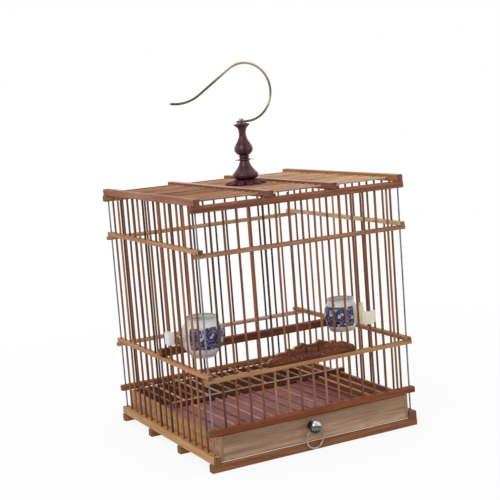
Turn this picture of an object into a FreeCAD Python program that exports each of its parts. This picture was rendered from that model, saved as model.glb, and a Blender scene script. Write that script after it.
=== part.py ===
import FreeCAD
import Part
import math
import os

# A square bamboo bird cage. Rails lie in lapped pairs on steel tie rods at the corners and are threaded
# by bars. The middle bars of the front carry a carved plate and slide up as the door.
# Millimetres, +Z up, front towards -Y, origin on the ground midway between the tie rods.

vector = FreeCAD.Vector
origin = vector(0, 0, 0)
right = vector(1, 0, 0)
rear = vector(0, 1, 0)
up = vector(0, 0, 1)

# Frame in plan
cage_span = 240.0
rail_overhang = 5.5
bar_spacing = 15.0
door_bar_count = 7
roof_rod_count = 16
base_slat_share = 1 / 3
roof_slat_gap_share = 2.5

# Sticks, measured across their six flats
bar_flats = 2.4
tie_flats = 1.8
tie_inset = 0.4

# Rails, with the level of the underside of each front and back one
base_rail_width = 8.4
base_rail_height = 8.4
drawer_rail_width = 7.0
drawer_rail_height = 6.6
drawer_rail_level = 37.0
mid_rail_width = 6.2
mid_rail_height = 4.4
lower_rail_level = 91.4
upper_rail_level = 218.1
top_rail_width = 7.4
top_rail_height = 7.2
top_rail_level = 263.1
floor_rail_width = 5.0
floor_rail_height = 7.0
floor_rail_drop = 2.0
floor_rail_end_gap = 9.0

# Depths of the blind sockets that take the feet of bars, and the tops of the short ones
foot_socket = 4.0
drawer_socket = 3.3
lower_socket = 2.2

# Turned pieces have this many flat sides, and one step along an arc for each such turn in radians
turned_sides = 20
cup_sides = 24
arc_step_turn = 0.5
hook_step_turn = 0.25

# Clearances
set_fit = 0.04
running_fit = 0.3
spindle_fit = 0.05
seat_gap = 0.2
overrun = 2.0

# Perch
perch_side = 8.5
perch_overhang = 4.0

# Door plate
plate_thickness = 4.0
plate_height = 18.8
plate_end = 7.5
plate_under_bar = 2.0
door_tip = 3.0
plate_outline_shares = [
    (1.0, 0.0), (1.0, 0.28), (0.94, 0.42), (0.83, 0.46), (0.79, 0.58), (0.60, 0.68), (0.50, 0.83),
    (0.42, 0.71), (0.27, 0.88), (0.19, 1.0), (0.09, 0.86),
]
plate_hole_shares = [(0.43, 0.28), (0.22, 0.22)]
plate_hole_flats = 1.7
plate_slot_share = 0.14
plate_slot_width = 1.5
plate_slot_low_share = 0.30
plate_slot_high_share = 0.70

# Drawer
drawer_side_gap = 0.6
drawer_seat_gap = 0.3
drawer_top_gap = 0.6
drawer_back_gap = 1.1
drawer_proud = 2.7
drawer_side = 4.0
drawer_front = 6.0
drawer_back = 4.0
drawer_bottom = 1.5
knob_offset = -7.0
knob_level_share = 0.64
knob_base_radius = 6.0
knob_base_length = 1.4
knob_stem_radius = 2.4
knob_stem_length = 8.8
knob_radius = 7.2
knob_dome_length = 5.0
knob_eye_width = 3.0
knob_eye_depth = 3.6
knob_eye_below = 1.0
ring_radius = 10.1
ring_wire_flats = 1.4
ring_drop = 3.75
ring_stand = 4.3
ring_hole = 2.6

# Feeding cups, with lugs that reach out between two bars, and the wooden pegs wedged behind the lugs' heads
cup_wall = 2.0
cup_belly_share = 0.58
cup_neck_share = 0.86
cup_foot_bow_share = 0.10
cup_shoulder_bow_share = 0.15
cup_bar_share = 4.0
left_cup_radius = 22.6
left_cup_flat = 20.5
left_cup_height = 43.1
left_cup_rim = 17.0
left_cup_foot = 13.6
left_cup_lift = 3.7
left_cup_bar_gap = 5.7
left_lug_level_share = 0.584
left_lug_height = 13.5
left_neck_width = 6.0
left_neck_height = 6.0
left_head_length = 7.6
right_cup_radius = 18.3
right_cup_flat = 16.5
right_cup_height = 35.0
right_cup_rim = 14.4
right_cup_foot = 13.3
right_cup_lift = 15.2
right_cup_bar_gap = 1.3
right_cup_turn = 34.0
right_lug_level_share = 0.437
right_lug_height = 13.4
right_neck_width = 5.0
right_neck_height = 10.0
right_head_length = 5.2
neck_lift = 0.6
lug_head_width = 10.4
head_chamfer = 1.6
keeper_width = 4.2
keeper_thickness = 4.2
keeper_gap = 0.3
left_keeper_height = 8.7
right_keeper_height = 23.6
keeper_outline_shares = [(0.36, 0.0), (0.5, 0.64), (0.26, 1.0), (-0.12, 1.0), (-0.5, 0.70), (-0.36, 0.0)]

# Finial and hook, all on the middle axis
spindle_radius = 1.5
spindle_tail = 1.0
nub_radius = 2.6
nub_height = 2.2
clamp_radius = 15.0
clamp_thickness = 3.0
nut_flats = 6.0
nut_height = 3.0
petal_count = 12
petal_tip_radius = 24.6
petal_root_radius = 20.6
petal_thickness = 3.4
rosette_cap_radius = 15.5
rosette_cap_height = 2.0
bell_radius = 14.5
bell_height = 24.0
bell_outline_shares = [(0.86, 0.0, 0.0), (1.0, 0.22, -0.13), (0.36, 0.80, 0.0), (0.335, 1.0, 0.0)]
vase_radius = 10.2
vase_height = 38.7
vase_outline_shares = [
    (0.48, 0.0, 0.0), (0.52, 0.10, 0.16), (1.0, 0.29, 0.10), (0.76, 0.48, -0.08), (0.41, 0.72, -0.10),
    (0.79, 0.93, 0.0), (0.64, 1.0, 0.0),
]
pin_flats = 1.2
pin_length = 22.0
pin_level_share = 0.92
hook_wire_radius = 1.3
hook_gap = 0.3
eye_radius = 6.0
crook_radius = 32.0
crook_offset = 7.3
crook_turn = 214.0
hook_run = 46.0
tip_radius = 47.8
tip_turn = 43.0

# Worked out from the sizes above
half = cage_span / 2
rail_reach = half + rail_overhang
bar_gaps = 2 * round(cage_span / bar_spacing / 2)
pitch = cage_span / bar_gaps
bar_places = [pitch * number - half for number in range(1, bar_gaps)]
door_first = (len(bar_places) - door_bar_count) // 2
door_places = bar_places[door_first:door_first + door_bar_count]
left_places = bar_places[:door_first]
right_places = bar_places[door_first + door_bar_count:]
roof_pitch = cage_span / (roof_rod_count + 1)
roof_places = [roof_pitch * number - half for number in range(1, roof_rod_count + 1)]
base_slat_y = half * base_slat_share
roof_slat_x = pitch * roof_slat_gap_share
hex_corner = 1 / math.cos(math.pi / 6)
bar_corner = bar_flats / 2 * hex_corner

side_base_level = base_rail_height
side_lower_level = lower_rail_level + mid_rail_height
side_upper_level = upper_rail_level + mid_rail_height
side_top_level = top_rail_level + top_rail_height
roof_level = side_top_level + top_rail_height
drawer_rail_top = drawer_rail_level + drawer_rail_height
rod_level = side_top_level + top_rail_height / 2
floor_rod_level = drawer_rail_level + drawer_rail_height / 2
perch_level = side_lower_level + mid_rail_height + seat_gap


# Shapes

def block(x_span, y_span, z_span):
    low = vector(x_span[0], y_span[0], z_span[0])
    size = vector(x_span[1], y_span[1], z_span[1]) - low
    return Part.makeBox(size.x, size.y, size.z, low)


def about(middle, width):
    return (middle - width / 2, middle + width / 2)


# The corners of a six-sided section across a run, with one of its flats facing the given way
def hexagon(start, run, flats, facing):
    beside = run.cross(facing).normalize()
    corner = flats / 2 * hex_corner
    points = []
    for side in range(6):
        angle = (side + 0.5) * math.pi / 3
        points.append(start + facing * (corner * math.cos(angle)) + beside * (corner * math.sin(angle)))
    return points


def flat_face(corners):
    return Part.Face(Part.makePolygon(corners + corners[:1]))


def solid_of(faces):
    solid = Part.makeSolid(Part.makeShell(faces))
    return solid if solid.Volume > 0 else solid.reversed()


def stick(start, end, flats, facing):
    return flat_face(hexagon(start, end - start, flats, facing)).extrude(end - start)


# A bent bar through a row of sections, with flat sides between them
def bent_bar(sections):
    faces = [flat_face(sections[0]), flat_face(sections[-1])]
    for section, beyond in zip(sections, sections[1:]):
        for side in range(len(section)):
            faces.append(flat_face([section[side - 1], section[side], beyond[side], beyond[side - 1]]))
    return solid_of(faces)


def upright(x, y, low, high, flats=bar_flats):
    return stick(vector(x, y, low), vector(x, y, high), flats, right)


def drilled(shape, holes):
    return shape.cut(Part.makeCompound(holes))


# A flat face from points in the XZ plane
def outline_face(points):
    return flat_face([vector(x, 0, z) for x, z in points])


# A closed outline with its arcs cut into straight steps. Each point has its place and the rise of the arc
# from it to the next one, as a share of the chord
def stepped(points):
    steps = []
    for (x, z, bow), (next_x, next_z, _) in zip(points, points[1:] + points[:1]):
        steps.append((x, z))
        half_turn = 2 * math.atan(2 * bow)
        count = math.ceil(abs(2 * half_turn) / arc_step_turn)
        for number in range(1, count):
            angle = half_turn * (2 * number / count - 1)
            along = (1 + math.sin(angle) / math.sin(half_turn)) / 2
            rise = (math.cos(angle) - math.cos(half_turn)) / math.sin(half_turn) / 2
            steps.append((x + (next_x - x) * along + (next_z - z) * rise,
                          z + (next_z - z) * along - (next_x - x) * rise))
    return steps


# A turned piece: the outline carried round the Z axis on flat sides
def turned(points, sides=turned_sides):
    rings = []
    for radius, z in stepped(points):
        angles = [2 * math.pi * (side + 0.5) / sides for side in range(sides)] if radius else [0]
        rings.append([vector(radius * math.cos(angle), radius * math.sin(angle), z) for angle in angles])
    faces = []
    for ring, beyond in zip(rings, rings[1:] + rings[:1]):
        wide = ring if len(ring) > 1 else beyond
        if len(ring) + len(beyond) == 2:
            continue
        if len(ring) != len(beyond) and ring[0].z == beyond[0].z:
            faces.append(flat_face(wide))
            continue
        for side in range(sides):
            after = (side + 1) % sides
            corners = [ring[side % len(ring)], ring[after % len(ring)],
                       beyond[after % len(beyond)], beyond[side % len(beyond)]]
            corners = [corner for number, corner in enumerate(corners) if corner != corners[number - 1]]
            faces.append(flat_face(corners))
    return solid_of(faces)


# A turned piece from shares of its radius and height, standing on a level
def turned_shares(shares, radius, height, level):
    points = [(radius * x, height * z, bow) for x, z, bow in shares]
    solid = turned([(0, 0, 0)] + points + [(0, height, 0)])
    solid.translate(up * level)
    return solid


def disc(radius, low, high):
    return turned([(0, low, 0), (radius, low, 0), (radius, high, 0), (0, high, 0)])


def bore(radius, low, high):
    return Part.makeCylinder(radius, high - low, up * low)


parts = {}


# Rails and the holes that bars pass through

tie_places = [(x, y) for x in (-half, half) for y in (-half, half)]


def tie_holes(level, height):
    flats = tie_flats + 2 * set_fit
    return [upright(x, y, level - overrun, level + height + overrun, flats) for x, y in tie_places]


def cross_rail(y, width, height, level):
    return block((-rail_reach, rail_reach), about(y, width), (level, level + height))


def side_rail(x, width, height, level):
    return block(about(x, width), (-rail_reach, rail_reach), (level, level + height))


def through(places, level, height, fit=set_fit):
    flats = bar_flats + 2 * fit
    return [upright(x, y, level - overrun, level + height + overrun, flats) for x, y in places]


def socket_above(places, level, depth):
    flats = bar_flats + 2 * set_fit
    return [upright(x, y, level - depth, level + overrun, flats) for x, y in places]


def socket_below(places, level, depth):
    flats = bar_flats + 2 * set_fit
    return [upright(x, y, level - overrun, level + depth, flats) for x, y in places]


def along_x(places, y):
    return [(x, y) for x in places]


def along_y(x):
    return [(x, y) for y in bar_places]


front_fixed = along_x(left_places + right_places, -half)
front_door = along_x(door_places, -half)
front_all = along_x(bar_places, -half)
back_all = along_x(bar_places, half)

base_size = (base_rail_width, base_rail_height)
drawer_rail_size = (drawer_rail_width, drawer_rail_height)
mid_size = (mid_rail_width, mid_rail_height)
top_size = (top_rail_width, top_rail_height)

# Each front and back rail: place, size, level and the holes for bars
cross_rails = {
    "front_bottom_rail": (-half, base_size, 0, []),
    "back_bottom_rail": (half, base_size, 0, socket_above(back_all, base_rail_height, foot_socket)),
    "front_bottom_slat": (-base_slat_y, base_size, 0, []),
    "back_bottom_slat": (base_slat_y, base_size, 0, []),
    "front_drawer_rail": (-half, drawer_rail_size, drawer_rail_level,
                          socket_above(front_all, drawer_rail_top, drawer_socket)),
    "back_drawer_rail": (half, drawer_rail_size, drawer_rail_level,
                         through(back_all, drawer_rail_level, drawer_rail_height)),
    "front_lower_rail": (-half, mid_size, lower_rail_level,
                         through(front_fixed, lower_rail_level, mid_rail_height)
                         + socket_below(front_door, lower_rail_level, lower_socket)),
    "back_lower_rail": (half, mid_size, lower_rail_level,
                        through(back_all, lower_rail_level, mid_rail_height)),
    "front_upper_rail": (-half, mid_size, upper_rail_level,
                         through(front_fixed, upper_rail_level, mid_rail_height)
                         + through(front_door, upper_rail_level, mid_rail_height, running_fit)),
    "back_upper_rail": (half, mid_size, upper_rail_level,
                        through(back_all, upper_rail_level, mid_rail_height)),
    "front_top_rail": (-half, top_size, top_rail_level,
                       through(front_door, top_rail_level, top_rail_height, running_fit)),
    "back_top_rail": (half, top_size, top_rail_level, []),
}
for name, (y, (width, height), level, holes) in cross_rails.items():
    rail = cross_rail(y, width, height, level)
    if "slat" not in name:
        holes = holes + tie_holes(level, height)
    parts[name] = drilled(rail, holes) if holes else rail

for hand, x in (("left", -half), ("right", half)):
    bars = along_y(x)
    side_rails = {
        "bottom_rail": (base_size, side_base_level,
                        socket_above(bars, side_base_level + base_rail_height, foot_socket)),
        "lower_rail": (mid_size, side_lower_level, through(bars, side_lower_level, mid_rail_height)),
        "upper_rail": (mid_size, side_upper_level, through(bars, side_upper_level, mid_rail_height)),
        "top_rail": (top_size, side_top_level, []),
    }
    for name, ((width, height), level, holes) in side_rails.items():
        rail = side_rail(x, width, height, level)
        parts[hand + "_" + name] = drilled(rail, holes + tie_holes(level, height))

for (x, y), name in zip(tie_places, ("front_left", "back_left", "front_right", "back_right")):
    parts[name + "_tie_rod"] = upright(x, y, tie_inset, roof_level - tie_inset, tie_flats)


# Bars of the four panels

def bar_group(places, low, high):
    return Part.makeCompound([upright(x, y, low, high) for x, y in places])


side_bar_low = side_base_level + base_rail_height - foot_socket
front_bar_low = drawer_rail_top - drawer_socket
parts["left_bars"] = bar_group(along_y(-half), side_bar_low, side_top_level)
parts["right_bars"] = bar_group(along_y(half), side_bar_low, side_top_level)
parts["back_bars"] = bar_group(back_all, base_rail_height - foot_socket, top_rail_level)
parts["front_left_bars"] = bar_group(along_x(left_places, -half), front_bar_low, top_rail_level)
parts["front_right_bars"] = bar_group(along_x(right_places, -half), front_bar_low, top_rail_level)
parts["front_lower_bars"] = bar_group(front_door, front_bar_low, lower_rail_level + lower_socket)


# Roof and floor

rod_reach = half - top_rail_width / 2


def roof_rod(y, reach, flats):
    return stick(vector(-reach, y, rod_level), vector(reach, y, rod_level), flats, up)


def floor_rod(x, reach, flats):
    return stick(vector(x, -reach, floor_rod_level), vector(x, reach, floor_rod_level), flats, up)


parts["roof_rods"] = Part.makeCompound([roof_rod(y, rod_reach, bar_flats) for y in roof_places])
roof_holes = [roof_rod(y, half, bar_flats + 2 * set_fit) for y in roof_places]
for name, x in (("left_roof_slat", -roof_slat_x), ("right_roof_slat", roof_slat_x)):
    parts[name] = drilled(side_rail(x, top_rail_width, top_rail_height, side_top_level), roof_holes)

floor_reach = half - drawer_rail_width / 2
parts["floor_rods"] = Part.makeCompound([floor_rod(x, floor_reach, bar_flats) for x in bar_places])
floor_rail_reach = half - floor_rail_end_gap
floor_rail_low = floor_rod_level - floor_rail_drop
floor_rail = block((-floor_rail_reach, floor_rail_reach), about(0, floor_rail_width),
                   (floor_rail_low, floor_rail_low + floor_rail_height))
floor_holes = [floor_rod(x, floor_rail_width, bar_flats + 2 * set_fit) for x in bar_places]
parts["floor_mid_rail"] = drilled(floor_rail, floor_holes)

perch_reach = half + perch_overhang
parts["perch"] = block((-perch_reach, perch_reach), about(-pitch / 2, perch_side),
                       (perch_level, perch_level + perch_side))


# Door: a carved plate that hangs on its bars

plate_low = lower_rail_level + mid_rail_height + seat_gap
plate_reach = door_places[-1] + plate_end


def door_plate():
    rising = [(plate_reach * x, plate_height * z) for x, z in plate_outline_shares]
    falling = [(-x, z) for x, z in reversed(rising)]
    plate = outline_face(rising + falling).extrude(rear * plate_thickness)
    plate.translate(vector(0, -half - plate_thickness / 2, plate_low))
    front = vector(0, -half - plate_thickness, plate_low)
    cuts = [upright(x, y, plate_low + plate_under_bar, plate_low + plate_height + overrun,
                    bar_flats + 2 * set_fit) for x, y in front_door]
    for side in (-1, 1):
        for x, z in plate_hole_shares:
            start = front + vector(side * plate_reach * x, 0, plate_height * z)
            cuts.append(stick(start, start + rear * (2 * plate_thickness), plate_hole_flats, up))
        cuts.append(block(about(side * plate_reach * plate_slot_share, plate_slot_width),
                          about(-half, 2 * plate_thickness),
                          (plate_low + plate_height * plate_slot_low_share,
                           plate_low + plate_height * plate_slot_high_share)))
    return drilled(plate, cuts)


parts["door_plate"] = door_plate()
parts["door_bars"] = bar_group(front_door, plate_low + plate_under_bar, side_top_level + door_tip)


# Drawer

drawer_x = half - base_rail_width / 2 - drawer_side_gap
drawer_y0 = -half - drawer_proud
drawer_y1 = half - bar_corner - drawer_back_gap
drawer_low = base_rail_height + drawer_seat_gap
drawer_floor = drawer_low + drawer_bottom
drawer_top = drawer_rail_level - drawer_top_gap
drawer_inner = drawer_x - drawer_side
drawer_walls = (drawer_floor, drawer_top)
drawer_length = (drawer_y0, drawer_y1)
parts["drawer_bottom"] = block((-drawer_x, drawer_x), drawer_length, (drawer_low, drawer_floor))
parts["drawer_left_side"] = block((-drawer_x, -drawer_inner), drawer_length, drawer_walls)
parts["drawer_right_side"] = block((drawer_inner, drawer_x), drawer_length, drawer_walls)
drawer_width = (-drawer_inner, drawer_inner)
parts["drawer_front"] = block(drawer_width, (drawer_y0, drawer_y0 + drawer_front), drawer_walls)
parts["drawer_back"] = block(drawer_width, (drawer_y1 - drawer_back, drawer_y1), drawer_walls)

knob_level = drawer_low + (drawer_top - drawer_low) * knob_level_share
ring_pivot = vector(knob_offset, drawer_y0 - ring_stand, knob_level - ring_drop)


def drawer_knob():
    dome_chord = math.hypot(knob_radius, knob_dome_length)
    dome_bow = math.tan(math.asin(knob_dome_length / dome_chord) / 2) / 2
    knob = turned([
        (0, 0, 0), (knob_base_radius, 0, 0), (knob_base_radius, knob_base_length, 0),
        (knob_stem_radius, knob_base_length, 0), (knob_stem_radius, knob_stem_length, 0),
        (knob_radius, knob_stem_length, dome_bow), (0, knob_stem_length + knob_dome_length, 0),
    ])
    knob.rotate(origin, right, 90)
    knob.translate(vector(knob_offset, drawer_y0, knob_level))
    eye = block(about(knob_offset, knob_eye_width), about(ring_pivot.y, knob_eye_depth),
                (ring_pivot.z - ring_hole / 2 - knob_eye_below, knob_level))
    hole = stick(ring_pivot - right * knob_eye_width, ring_pivot + right * knob_eye_width, ring_hole, up)
    return knob.fuse(eye).cut(hole).removeSplitter()


def drawer_ring():
    centre = ring_pivot - up * ring_radius
    corner = ring_wire_flats / 2 * hex_corner
    angles = [(side + 0.5) * math.pi / 3 for side in range(6)]
    section = [(ring_radius + corner * math.cos(angle), corner * math.sin(angle), 0) for angle in angles]
    ring = turned(section)
    ring.rotate(origin, right, 90)
    ring.translate(centre)
    return ring


parts["drawer_knob"] = drawer_knob()
parts["drawer_ring"] = drawer_ring()


# Feeding cups. Each is made as if on the front panel, with its lug towards -Y

def cup_outline(foot, belly, rim, height, low, high):
    return [
        (0, low), (foot, low), (belly, height * cup_belly_share), (rim, height * cup_neck_share),
        (rim, high), (0, high),
    ]


def cup_body(radius, flat, height, rim, foot):
    outer = cup_outline(foot, radius, rim, height, 0, height)
    bows = [0, cup_foot_bow_share, cup_shoulder_bow_share, 0, 0, 0]
    body = turned([(x, z, bow) for (x, z), bow in zip(outer, bows)], cup_sides)
    hollow_outline = cup_outline(foot - cup_wall, radius - cup_wall, rim - cup_wall, height,
                                 cup_wall, height + overrun)
    hollow = turned([(x, z, 0) for x, z in hollow_outline], cup_sides)
    reach = radius + overrun
    beyond = block((-reach, reach), (-2 * reach, -flat), (-overrun, height + 2 * overrun))
    beyond_wall = block((-reach, reach), (-2 * reach, cup_wall - flat), (-overrun, height + 2 * overrun))
    return body.cut(beyond).cut(hollow.cut(beyond_wall))


# A neck out of the flat of a cup, and a wider head whose back lies along the peg's outer face. That face
# is a given distance from the cup's axis, and the lug stands turned to it
def lug(flat, distance, degrees, neck_width, neck_height, head_length, low, height):
    reach = distance / math.cos(math.radians(degrees))
    neck = block(about(0, neck_width), (-reach - head_length / 2, cup_wall / 2 - flat),
                 (low + neck_lift, low + neck_lift + neck_height))
    head = block(about(0, lug_head_width), (-reach - head_length, lug_head_width - reach),
                 (low, low + height))
    end_edges = [edge for edge in head.Edges if edge.BoundBox.YMax < -reach - head_length / 2]
    head = head.makeChamfer(head_chamfer, end_edges)
    behind = block(about(0, 4 * lug_head_width), (-distance, distance),
                   (low - overrun, low + height + overrun))
    behind.rotate(origin, up, -degrees)
    return [neck, head.cut(behind)]


# A tapered peg pushed down in front of one bar and behind the head of a lug, from the bar's axis inwards
def keeper(bar_x, side, low, height):
    middle = bar_x + side * keeper_width / 2
    points = [(middle + side * keeper_width * x, low + height * z) for x, z in keeper_outline_shares]
    peg = outline_face(points).extrude(rear * keeper_thickness)
    peg.translate(-rear * (keeper_face + keeper_thickness))
    return peg


cup_bar_x = pitch * cup_bar_share
cup_floor = side_lower_level + mid_rail_height
keeper_face = half + bar_corner + keeper_gap
head_back = keeper_face + keeper_thickness + keeper_gap

left_cup_level = cup_floor + left_cup_lift
left_cup_y = half - bar_corner - left_cup_bar_gap - left_cup_flat
left_cup_x = cup_bar_x - keeper_width - keeper_gap - left_neck_width / 2
left_lug_low = left_cup_height * left_lug_level_share - left_lug_height / 2
left_body = cup_body(left_cup_radius, left_cup_flat, left_cup_height, left_cup_rim, left_cup_foot)
left_lug = lug(left_cup_flat, head_back - left_cup_y, 0, left_neck_width, left_neck_height,
               left_head_length, left_lug_low, left_lug_height)
left_cup = left_body.fuse(left_lug).removeSplitter()
left_cup.translate(vector(left_cup_x, -left_cup_y, left_cup_level))
left_cup.rotate(origin, up, -90)
left_keeper = keeper(cup_bar_x, -1, left_cup_level + left_lug_low, left_keeper_height)
left_keeper.rotate(origin, up, -90)
parts["left_cup"] = left_cup
parts["left_keeper"] = left_keeper

turn = math.radians(right_cup_turn)
right_cup_level = cup_floor + right_cup_lift
right_cup_y = half - bar_corner - right_cup_bar_gap - right_cup_radius
right_neck_x = cup_bar_x + keeper_width + keeper_gap + right_neck_width / 2 / math.cos(turn)
right_cup_x = right_neck_x - (keeper_face - right_cup_y) * math.tan(turn)
right_lug_low = right_cup_height * right_lug_level_share - right_lug_height / 2
right_body = cup_body(right_cup_radius, right_cup_flat, right_cup_height, right_cup_rim, right_cup_foot)
right_lug = lug(right_cup_flat, head_back - right_cup_y, right_cup_turn, right_neck_width, right_neck_height,
                right_head_length, right_lug_low, right_lug_height)
right_cup = right_body.fuse(right_lug).removeSplitter()
right_cup.rotate(origin, up, right_cup_turn)
right_cup.translate(vector(right_cup_x, -right_cup_y, right_cup_level))
parts["right_cup"] = right_cup
parts["right_keeper"] = keeper(cup_bar_x, 1, right_cup_level + right_lug_low, right_keeper_height)


# Finial: turned pieces threaded on a spindle that clamps them to the roof rods

def rosette(level):
    half_angle = math.pi / petal_count
    chord = 2 * petal_root_radius * math.sin(half_angle)
    bow = (petal_tip_radius - petal_root_radius * math.cos(half_angle)) / chord
    points = []
    for petal in range(petal_count):
        angle = 2 * half_angle * petal
        points.append((petal_root_radius * math.cos(angle), petal_root_radius * math.sin(angle), bow))
    petals = outline_face(stepped(points)).extrude(rear * petal_thickness)
    petals.rotate(origin, right, -90)
    petals.translate(up * petal_thickness)
    cap = turned([(0, 0, 0), (petal_root_radius, 0, 0), (rosette_cap_radius, rosette_cap_height, 0),
                  (0, rosette_cap_height, 0)])
    cap.translate(up * petal_thickness)
    flower = petals.fuse(cap)
    flower.translate(up * level)
    return flower


rosette_level = rod_level + bar_flats / 2
bell_level = rosette_level + petal_thickness + rosette_cap_height
vase_level = bell_level + bell_height
finial_top = vase_level + vase_height
eye_level = finial_top + hook_gap
hook_level = eye_level + hook_wire_radius
nub_level = eye_level + 2 * hook_wire_radius + hook_gap
clamp_top = rod_level - bar_flats / 2
clamp_low = clamp_top - clamp_thickness
nut_low = clamp_low - nut_height
pin_level = bell_level + bell_height * pin_level_share

shaft_hole = upright(0, 0, nut_low - overrun, finial_top + overrun, 2 * (spindle_radius + spindle_fit))
pin_start = vector(-pin_length / 2, 0, pin_level)
pin_end = vector(pin_length / 2, 0, pin_level)
pin_hole = stick(pin_start, pin_end, pin_flats + 2 * set_fit, up)
parts["finial_pin"] = stick(pin_start, pin_end, pin_flats, up)
parts["clamp_disc"] = disc(clamp_radius, clamp_low, clamp_top).cut(shaft_hole)
nut = stick(up * nut_low, up * clamp_low, nut_flats, right)
parts["spindle_nut"] = nut.cut(shaft_hole)
parts["rosette"] = rosette(rosette_level).cut(shaft_hole)
bell = turned_shares(bell_outline_shares, bell_radius, bell_height, bell_level)
parts["finial_bell"] = bell.cut(shaft_hole).cut(pin_hole)
vase = turned_shares(vase_outline_shares, vase_radius, vase_height, vase_level)
parts["finial_vase"] = vase.cut(shaft_hole)
shank = bore(spindle_radius, nut_low - spindle_tail, nub_level)
nub = disc(nub_radius, nub_level, nub_level + nub_height)
parts["finial_spindle"] = shank.fuse(nub).cut(pin_hole).removeSplitter()


# Hook of bent wire. It turns freely on the spindle

def hook():
    place = vector(spindle_radius + hook_wire_radius, 0, hook_level)
    heading = right
    sections = [hexagon(place, heading, 2 * hook_wire_radius, up)]
    for run, radius, degrees in ((crook_offset - place.x, crook_radius, crook_turn),
                                 (hook_run, tip_radius, -tip_turn)):
        sections.append([corner + heading * run for corner in sections[-1]])
        place = place + heading * run
        axis = rear * math.copysign(1, -degrees)
        centre = place + axis.cross(heading) * radius
        count = math.ceil(abs(math.radians(degrees)) / hook_step_turn)
        step = FreeCAD.Rotation(axis, abs(degrees) / count)
        for _ in range(count):
            sections.append([centre + step.multVec(corner - centre) for corner in sections[-1]])
            place = centre + step.multVec(place - centre)
            heading = step.multVec(heading)
    eye = disc(eye_radius, eye_level, eye_level + 2 * hook_wire_radius)
    hole = bore(spindle_radius + spindle_fit, eye_level - overrun, nub_level + overrun)
    return eye.fuse(bent_bar(sections)).cut(hole).removeSplitter()


parts["hook"] = hook()

os.makedirs("parts", exist_ok=True)
for name, shape in parts.items():
    shape.exportStep("parts/" + name + ".step")
    print(name, len(shape.Solids), round(shape.Volume), shape.isValid())
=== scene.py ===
import bmesh
import bpy
import math
import random
from mathutils import Matrix, Vector, noise


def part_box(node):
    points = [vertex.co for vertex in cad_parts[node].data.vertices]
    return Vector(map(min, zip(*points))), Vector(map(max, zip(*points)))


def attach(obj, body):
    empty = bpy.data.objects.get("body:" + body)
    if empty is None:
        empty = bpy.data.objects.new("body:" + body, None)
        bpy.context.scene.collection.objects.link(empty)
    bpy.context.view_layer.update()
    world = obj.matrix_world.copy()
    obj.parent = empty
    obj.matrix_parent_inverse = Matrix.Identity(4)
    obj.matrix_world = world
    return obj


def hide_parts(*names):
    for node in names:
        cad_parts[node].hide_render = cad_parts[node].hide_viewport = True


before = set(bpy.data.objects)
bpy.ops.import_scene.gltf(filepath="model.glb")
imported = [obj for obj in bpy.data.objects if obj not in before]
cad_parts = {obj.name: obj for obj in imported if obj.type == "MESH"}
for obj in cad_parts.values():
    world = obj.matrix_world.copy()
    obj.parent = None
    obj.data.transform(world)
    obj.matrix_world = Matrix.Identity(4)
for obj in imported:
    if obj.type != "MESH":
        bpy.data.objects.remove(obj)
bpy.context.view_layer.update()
scene = bpy.context.scene
dice = random.Random(23)
mm = 0.001
print("frame loaded with", len(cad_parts), "nodes")


# Colours are written as they look on a screen
def srgb(code):
    parts = [int(code[place:place + 2], 16) / 255 for place in (0, 2, 4)]
    light = [part / 12.92 if part <= 0.04045 else ((part + 0.055) / 1.055) ** 2.4 for part in parts]
    return (*light, 1.0)


# One value on its way through a shader
class Flow:
    def __init__(self, finish, socket):
        self.finish = finish
        self.socket = socket

    def __add__(self, other):
        return self.finish.maths("ADD", self, other)

    def __sub__(self, other):
        return self.finish.maths("SUBTRACT", self, other)

    def __rsub__(self, other):
        return self.finish.maths("SUBTRACT", other, self)

    def __mul__(self, other):
        return self.finish.maths("MULTIPLY", self, other)

    def __truediv__(self, other):
        return self.finish.maths("DIVIDE", self, other)

    __radd__ = __add__
    __rmul__ = __mul__


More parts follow.
